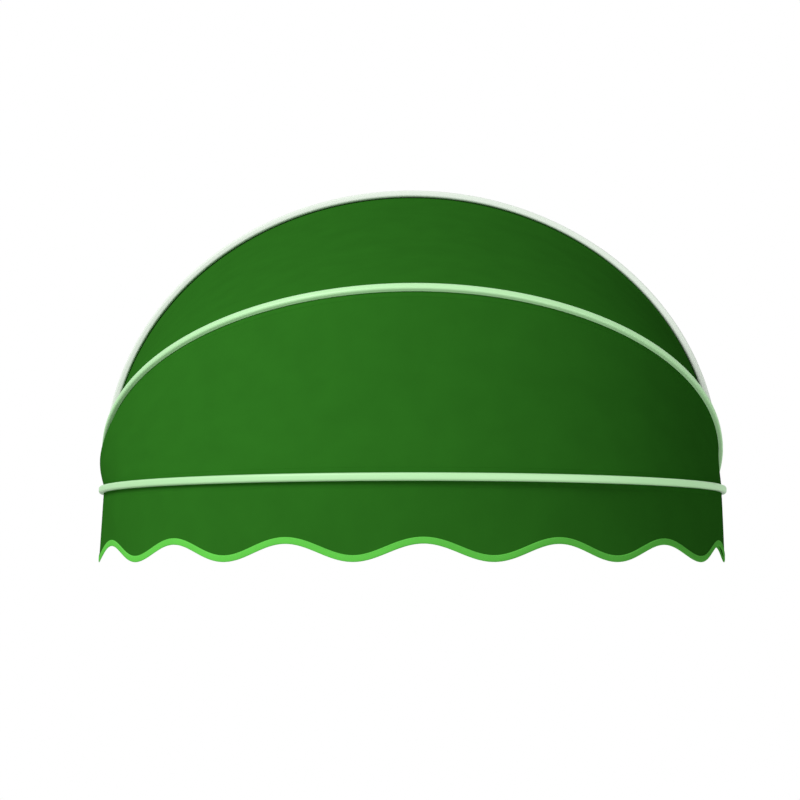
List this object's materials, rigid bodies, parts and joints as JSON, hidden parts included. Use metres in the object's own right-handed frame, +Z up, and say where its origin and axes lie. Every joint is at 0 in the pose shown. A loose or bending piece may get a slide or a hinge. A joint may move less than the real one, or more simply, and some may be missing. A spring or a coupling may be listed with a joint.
{
  "type": "window awning",
  "caption": "Half-round folding window awning: arched bows on a common hinge line carry a green cloth canopy and a hanging valance with a wavy bound edge.",
  "frame": {"origin": "on the wall plane, midway between the two hinges, at the height of the hinge line", "axes": "+X to the right seen from the front, +Y into the wall, +Z up; the canopy stands out along -Y"},
  "size_m": [1.5076, 0.7939, 0.9228],
  "materials": {
    "mint_powder_coat": "semi-gloss powder coat on extruded or cast aluminium",
    "pale_powder_coat": "semi-gloss powder coat on extruded aluminium",
    "canopy_cloth": "woven acrylic awning cloth",
    "binding_tape": "woven binding tape",
    "keder_cord": "extruded plastic cord",
    "zinc_steel": "zinc plated",
    "nylon": "natural nylon"
  },
  "bodies": {
    "frame": {"rear_bow": "pale_powder_coat", "rear_keder": "keder_cord", "upper_panel": "canopy_cloth", "left_bracket": "mint_powder_coat", "right_bracket": "mint_powder_coat", "left_hinge_bolt": "zinc_steel", "right_hinge_bolt": "zinc_steel", "left_hinge_nut": "zinc_steel", "right_hinge_nut": "zinc_steel", "left_front_washer": "nylon", "right_front_washer": "nylon", "left_middle_washer": "nylon", "right_middle_washer": "nylon", "left_clip": "zinc_steel", "left_clip_screw": "zinc_steel", "crown_clip": "zinc_steel", "crown_clip_screw": "zinc_steel", "right_clip": "zinc_steel", "right_clip_screw": "zinc_steel"},
    "middle": {"middle_bow": "mint_powder_coat", "middle_upper_keder": "keder_cord", "middle_lower_keder": "keder_cord", "lower_panel": "canopy_cloth", "left_middle_lug": "zinc_steel", "right_middle_lug": "zinc_steel", "left_middle_rivet": "zinc_steel", "right_middle_rivet": "zinc_steel"},
    "front": {"front_bow": "mint_powder_coat", "front_upper_keder": "keder_cord", "valance_keder": "keder_cord", "valance": "canopy_cloth", "valance_binding": "binding_tape", "left_front_lug": "zinc_steel", "right_front_lug": "zinc_steel", "left_front_rivet": "zinc_steel", "right_front_rivet": "zinc_steel"}
  },
  "joints": [
    {"name": "front_fold", "type": "hinge", "parent": "frame", "child": "front", "pos_m": [0, -0.028, 0], "axis": [-1, 0, 0], "range_deg": [0, 73], "deforming": ["lower_panel"]},
    {"name": "middle_fold", "type": "hinge", "parent": "frame", "child": "middle", "pos_m": [0, -0.028, 0], "axis": [-1, 0, 0], "range_deg": [0, 57], "deforming": ["upper_panel", "lower_panel"]}
  ],
  "couplings": [
    {"joint": "middle_fold", "follows": "front_fold", "ratio": 0.78}
  ]
}
